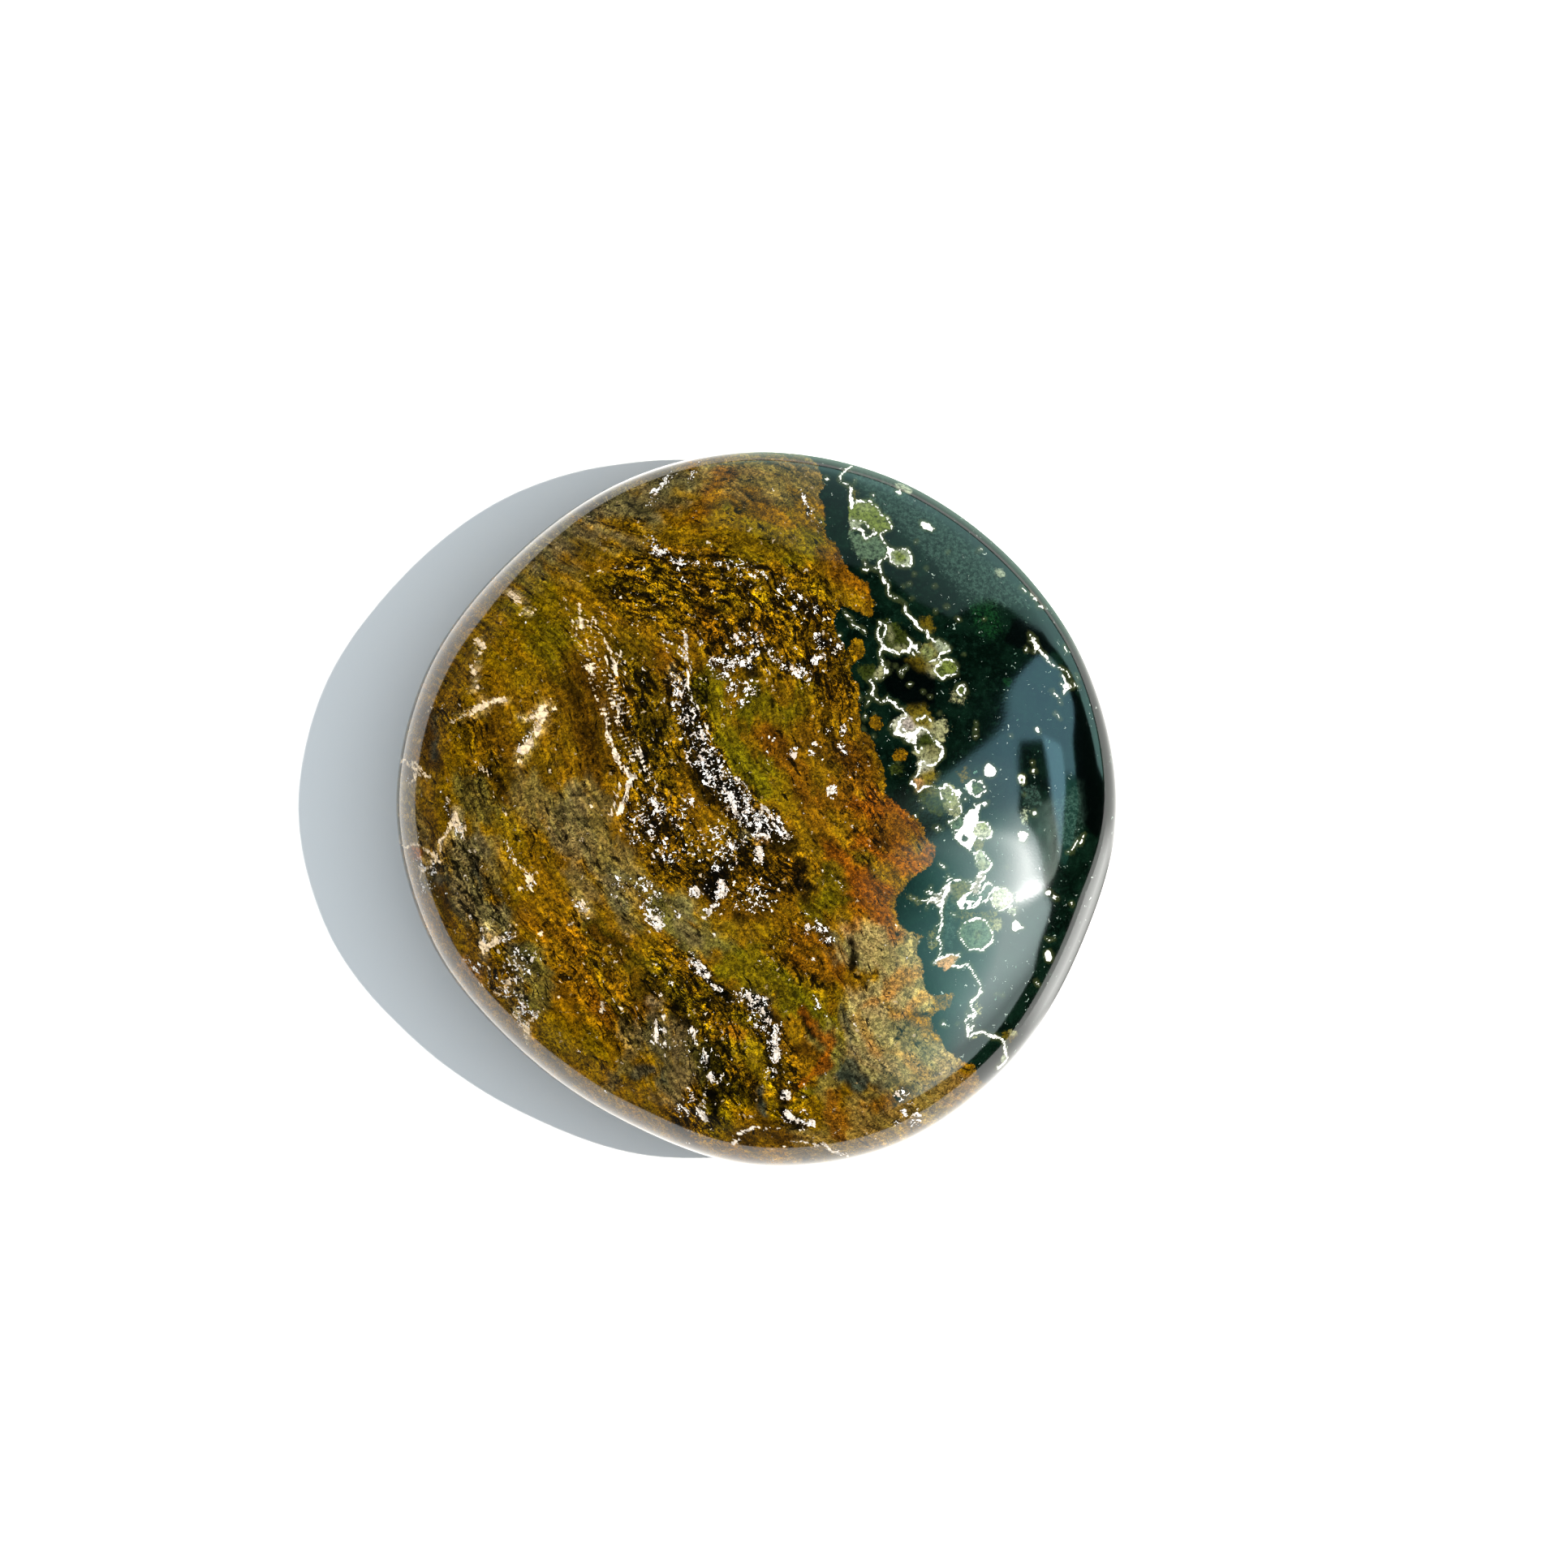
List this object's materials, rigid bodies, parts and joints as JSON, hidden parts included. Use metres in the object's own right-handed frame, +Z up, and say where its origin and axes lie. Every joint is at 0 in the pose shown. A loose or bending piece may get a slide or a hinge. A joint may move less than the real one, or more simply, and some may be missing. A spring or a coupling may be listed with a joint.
{
  "type": "polished ocean jasper palm stone",
  "caption": "Flattened round polished stone with a domed top, a fully rounded rim, a domed underside and a small flat resting spot.",
  "frame": {"origin": "centre of the flat resting spot, under the middle of the stone's plan", "axes": "+Z up through the domed top, +X towards the green side, +Y towards the far edge of the brown and green halves"},
  "size_m": [0.0623, 0.0618, 0.0196],
  "materials": {
    "polished_jasper": "hand polished, glossy"
  },
  "bodies": {
    "root": {"stone": "polished_jasper"}
  },
  "joints": []
}
